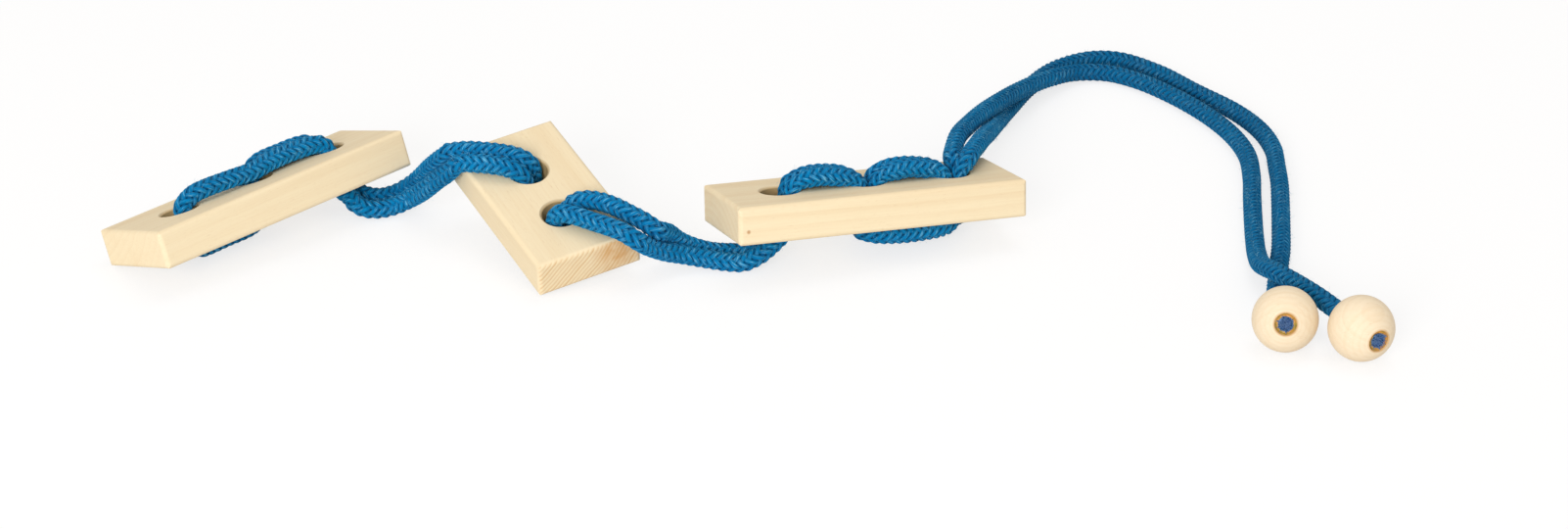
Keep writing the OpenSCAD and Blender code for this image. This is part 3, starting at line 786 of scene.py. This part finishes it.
# Blocks
# Three pieces of pale straight-grained wood, sawn to one width and thickness, drilled through their
# faces and sanded, with no finish on them. The grain runs along each block.
wood_grain = bpy.data.node_groups.new("wood_grain", "ShaderNodeTree")
for row in (
    ("Place", "NodeSocketVector"),
    ("Pith", "NodeSocketVector", (0, 0.05, 0.04)),
    ("Ring width", "NodeSocketFloat", 0.001),
    ("Ring strength", "NodeSocketFloat", 0.4),
    ("Pale", "NodeSocketColor", shade(250, 226, 182)),
    ("Dark", "NodeSocketColor", shade(220, 178, 116)),
):
    named_input(wood_grain, *row)
for name, kind in (
    ("Color", "NodeSocketColor"),
    ("Roughness", "NodeSocketFloat"),
    ("Height", "NodeSocketFloat"),
):
    wood_grain.interface.new_socket(name, in_out="OUTPUT", socket_type=kind)
given = wood_grain.nodes.new("NodeGroupInput").outputs
place = given["Place"]


# Noise drawn out along the grain: its rate along the wood, and the rate across it
def grain_noise(along_wood, across, *settings):
    stretched = combine(wood_grain, "MULTIPLY", place, (along_wood, across, across))
    return speckle(wood_grain, stretched, 1, *settings)


# The year rings lie round the pith, sway a little, and end in a darker late edge of uneven strength
ring_sway = 0.0022
sway = reckon(wood_grain, "SUBTRACT", grain_noise(9, 70), 0.5)
from_pith = combine(
    wood_grain, "MULTIPLY", combine(wood_grain, "SUBTRACT", place, given["Pith"]), (0, 1, 1)
)
swayed = reckon(
    wood_grain, "ADD", measured(wood_grain, "LENGTH", from_pith),
    reckon(wood_grain, "MULTIPLY", sway, ring_sway),
)
ring_count = reckon(wood_grain, "DIVIDE", swayed, given["Ring width"])
within_ring = reckon(wood_grain, "FRACT", ring_count)
ring_seed = added(
    wood_grain, "ShaderNodeTexWhiteNoise", {"W": reckon(wood_grain, "FLOOR", ring_count)},
    noise_dimensions="1D",
)
late = reckon(
    wood_grain, "MULTIPLY",
    spread(wood_grain, within_ring, 0.25, 0.86, 0, 1),
    spread(wood_grain, within_ring, 0.9, 1, 1, 0),
)
late = reckon(
    wood_grain, "MULTIPLY", late, spread(wood_grain, ring_seed.outputs["Value"], 0, 1, 0.45, 1)
)
ring_tone = reckon(wood_grain, "MULTIPLY", late, given["Ring strength"])

# Finer streaks, broad bands and short dark pores
streaks = grain_noise(60, 1600, 3, 0.6)
pores = grain_noise(500, 3200, 2, 0.6)
bands = grain_noise(12, 160)
wood = tint(wood_grain, ring_tone, given["Pale"], given["Dark"])
for share, colour in (
    (spread(wood_grain, streaks, 0.45, 0.8, 0, 0.13), given["Dark"]),
    (spread(wood_grain, bands, 0.5, 0.85, 0, 0.18), given["Dark"]),
    (spread(wood_grain, pores, 0.6, 0.78, 0, 0.22), shade(190, 140, 84)),
):
    wood = tint(wood_grain, share, wood, colour)
relief = reckon(
    wood_grain, "ADD", reckon(wood_grain, "MULTIPLY", streaks, 0.7),
    reckon(wood_grain, "MULTIPLY", ring_tone, -0.5),
)
added(wood_grain, "NodeGroupOutput", {
    "Color": wood,
    "Roughness": spread(wood_grain, streaks, 0.2, 0.8, 0.5, 0.66),
    "Height": relief,
})


def grained(name, pose, pith, ring_width, ring_strength, pale, dark):
    finish, tree = new_finish(name)
    here = tree.nodes.new("ShaderNodeTexCoord").outputs["Object"]
    place = added(
        tree, "ShaderNodeMapping",
        {
            "Vector": here,
            "Location": [v * MM for v in pose[0]],
            "Rotation": [math.radians(a) for a in pose[1]],
        },
        vector_type="TEXTURE",
    ).outputs[0]
    grain = added(
        tree, "ShaderNodeGroup",
        {
            "Place": place,
            "Pith": [v * MM for v in pith],
            "Ring width": ring_width * MM,
            "Ring strength": ring_strength,
            "Pale": pale,
            "Dark": dark,
        },
        node_tree=wood_grain,
    )
    dress(tree, {
        "Roughness": grain.outputs["Roughness"],
        "Specular IOR Level": 0.35,
        "Normal": bumped(tree, grain.outputs["Height"], 0.35, 0.06),
    })
    return finish, tree, place, grain


def near(tree, place, at, reach):
    apart = measured(tree, "DISTANCE", place, [v * MM for v in at])
    return spread(tree, apart, 0.35 * reach * MM, reach * MM, 1, 0)


# The wall of a drilled hole is darker, and so is the first of the face round it
wall_reach = 0.7


def bored(tree, axis_gap, radius, rim):
    return spread(tree, axis_gap, (radius + rim) * MM, (radius + wall_reach) * MM, 1, 0)


def finished(name, finish, tree, colour):
    dress(tree, {"Base Color": colour})
    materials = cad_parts[name].data.materials
    materials.clear()
    materials.append(finish)


# The long blocks have a hole in the middle and one 24.4 mm to each side. The middle block's two are
# 10 mm from its middle, with a pitch so wide that no other comes. Sides and ends are the strength
# of the rings there, and only the middle block shows them clearly at its end.
hole_radius = 5.2
for name, pose, length, first_hole, hole_pitch, pith, ring_width, sides, ends in (
    ("left_block", left_pose, 82, 0, 24.4, (0, 26, 31), 2.2, 0.08, 0.1),
    ("middle_block", middle_pose, 54, 10, 200, (0, -43, 39), 1.1, 0.05, 1),
    ("right_block", right_pose, 82, 0, 24.4, (0, 8, -22), 2.4, 0.2, 0.18),
):
    finish, tree, place, grain = grained(
        name + "_wood", pose, pith, ring_width, None, shade(249, 231, 196), shade(222, 182, 126)
    )
    across = parts_of(tree, place)
    along_block = reckon(tree, "ABSOLUTE", across[0])
    end_grain = spread(
        tree, along_block, (length / 2 - 0.6) * MM, (length / 2 - 0.1) * MM, 0, 1
    )
    feed(tree, grain.inputs["Ring strength"], spread(tree, end_grain, 0, 1, sides, ends))
    from_first = reckon(tree, "SUBTRACT", along_block, first_hole * MM)
    hole_offset = reckon(tree, "PINGPONG", from_first, hole_pitch / 2 * MM)
    axis_gap = measured(tree, "LENGTH", point(tree, hole_offset, across[1], 0))
    # Painted shade on the wall of each hole and on the face just round its rim
    wall = reckon(tree, "MULTIPLY", bored(tree, axis_gap, hole_radius, 0.05), 0.75)
    wood = tint(tree, wall, grain.outputs["Color"], shade(176, 138, 72))
    if name == "middle_block":
        patch = reckon(tree, "MULTIPLY", end_grain, speckle(tree, place, 420))
        honey = reckon(tree, "MULTIPLY", near(tree, place, (27, 9, 2), 9), patch)
        wood = tint(tree, honey, wood, shade(214, 150, 70))
    if name == "right_block":
        pin_dot = near(tree, place, (-38.4, -15, -1.4), 0.7)
        wood = tint(tree, pin_dot, wood, shade(204, 160, 114))
    finished(name, finish, tree, wood)

# Beads
# Two turned balls of the same pale wood, drilled through and sanded. Each is pushed onto a cord end,
# with its drilled face towards the player.
bead_hole_radius = 2.75
lathe_rate = 5200
for name, at, angles, pith in (
    ("left_bead", left_bead_at, left_bead_turn, (0, 30, 26)),
    ("right_bead", right_bead_at, right_bead_turn, (0, -24, 30)),
):
    finish, tree, place, grain = grained(
        name + "_wood", (at, angles), pith, 1.7, 0.14, shade(250, 232, 204), shade(224, 186, 134)
    )
    across = parts_of(tree, place)
    axis_gap = measured(tree, "LENGTH", point(tree, across[0], 0, across[2]))
    turned = reckon(tree, "SINE", reckon(tree, "MULTIPLY", axis_gap, lathe_rate))
    wood = tint(
        tree, spread(tree, turned, 0, 1, 0, 0.1), grain.outputs["Color"], shade(226, 190, 130)
    )
    wall = reckon(tree, "MULTIPLY", bored(tree, axis_gap, bead_hole_radius, 0.1), 0.8)
    finished(name, finish, tree, tint(tree, wall, wood, shade(214, 160, 84)))

# Glue
# A ring of set glue between each cord end and its bead. It has run a little and dried amber, with
# greener edges where it is thin.
glue_amber, tree = new_finish("glue_amber")
runs = speckle(tree, tree.nodes.new("ShaderNodeTexCoord").outputs["Object"], 700)
dress(tree, {
    "Base Color": tint(
        tree, spread(tree, runs, 0.4, 0.65, 0, 1), shade(226, 164, 78), shade(176, 150, 62)
    ),
    "Roughness": spread(tree, runs, 0.3, 0.7, 0.28, 0.5),
    "Subsurface Weight": 0.15,
    "Subsurface Radius": (0.001, 0.0006, 0.0003),
    "Normal": bumped(tree, runs, 0.5, 0.2),
})

# The ring's section, as radius and place along the bead's axis. Its front lip waves as it ran.
glue_section = (
    (2.73, -4.4), (2.73, -7.6), (2.6, -7.4), (2.4, -7.15), (2.15, -7.1), (1.95, -7.3), (1.8, -7),
    (1.8, -4.4),
)
glue_lip = -7
glue_around = 64
for name, at, angles in (
    ("left_bead", left_bead_at, left_bead_turn),
    ("right_bead", right_bead_at, right_bead_turn),
):
    verts = []
    for k in range(glue_around):
        a = math.tau * k / glue_around
        wave = 0.12 * math.sin(3 * a + at[0]) + 0.07 * math.sin(7 * a + at[1])
        for radius, y in glue_section:
            lift = wave if y < glue_lip else 0
            verts.append((radius * math.cos(a), y + lift, radius * math.sin(a)))
    count = len(glue_section)
    faces = [
        (
            k * count + i,
            (k + 1) % glue_around * count + i,
            (k + 1) % glue_around * count + (i + 1) % count,
            k * count + (i + 1) % count,
        )
        for k in range(glue_around)
        for i in range(count)
    ]
    mesh = bpy.data.meshes.new(name + "_glue_bead")
    mesh.from_pydata([Vector(v) * MM for v in verts], [], faces)
    mesh.transform(Matrix.Translation(Vector(at) * MM) @ turning(angles).to_4x4())
    mesh.polygons.foreach_set("use_smooth", [True] * len(faces))
    mesh.materials.append(glue_amber)
    glue = bpy.data.objects.new(name + "_glue_bead", mesh)
    scene.collection.objects.link(glue)
    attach(glue, name + "_end")
    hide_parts(name + "_glue")

# Cut cord ends
# Where each cord end was cut off inside its bead, the yarns fray into a tuft of short fibres, paler
# and greyer than the outside of the cord.
tuft, tuft_sockets, given = opened("cut_tuft", (
    ("Tuft radius", "NodeSocketFloat", 1.95 * MM),
    ("Fibres in a square metre", "NodeSocketFloat", 1.6e7),
    ("Fibre length", "NodeSocketFloat", 1.1 * MM),
    ("Fibre radius", "NodeSocketFloat", 0.09 * MM),
    ("Tuft finish", "NodeSocketMaterial"),
))
cut_face = added(
    tuft, "GeometryNodeMeshCircle", {"Vertices": 20, "Radius": given["Tuft radius"]},
    fill_type="TRIANGLE_FAN",
).outputs["Mesh"]
roots = added(
    tuft, "GeometryNodeDistributePointsOnFaces",
    {"Mesh": cut_face, "Density": given["Fibres in a square metre"], "Seed": 4},
)
fibre = added(
    tuft, "GeometryNodeMeshCone",
    {
        "Vertices": 5,
        "Radius Bottom": given["Fibre radius"],
        "Radius Top": reckon(tuft, "MULTIPLY", given["Fibre radius"], 0.5),
        "Depth": given["Fibre length"],
    },
).outputs["Mesh"]
planted = added(
    tuft, "GeometryNodeInstanceOnPoints",
    {
        "Points": roots.outputs["Points"],
        "Instance": fibre,
        "Rotation": chance(tuft, "FLOAT_VECTOR", (-0.7, -0.7, 0), (0.7, 0.7, 3), 5),
        "Scale": chance(tuft, "FLOAT", 0.6, 1.2, 6),
    },
).outputs[0]
fibre_index = tuft.nodes.new("GeometryNodeInputIndex").outputs[0]
numbered = note_down(tuft, planted, "fibre", fibre_index, domain="INSTANCE")
closed(tuft, (cut_face, numbered), given["Tuft finish"])

cut_cotton, tree = new_finish("cut_cotton")
fibre_seed = added(
    tree, "ShaderNodeTexWhiteNoise", {"W": read_off(tree, "fibre")}, noise_dimensions="1D"
)
here = tree.nodes.new("ShaderNodeTexCoord").outputs["Object"]
dress(tree, {
    "Base Color": tint(
        tree, fibre_seed.outputs["Value"], shade(52, 100, 162), shade(132, 162, 204)
    ),
    "Roughness": spread(tree, speckle(tree, here, 2500), 0, 1, 0.7, 0.95),
    "Specular IOR Level": 0.2,
})

cut_place = -7.35
for name, at, angles in (
    ("left_bead", left_bead_at, left_bead_turn),
    ("right_bead", right_bead_at, right_bead_turn),
):
    start = bpy.data.meshes.new(name + "_cut_route")
    cut_end = grown(name + "_cut_end", start, tuft, tuft_sockets["Tuft finish"], cut_cotton)
    cut_at = Vector(at) * MM + turning(angles) @ Vector((0, cut_place * MM, 0))
    cut_end.data.transform(
        Matrix.Translation(cut_at)
        @ turning(angles).to_4x4()
        @ Matrix.Rotation(math.radians(90), 4, "X")
    )
    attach(cut_end, name + "_end")
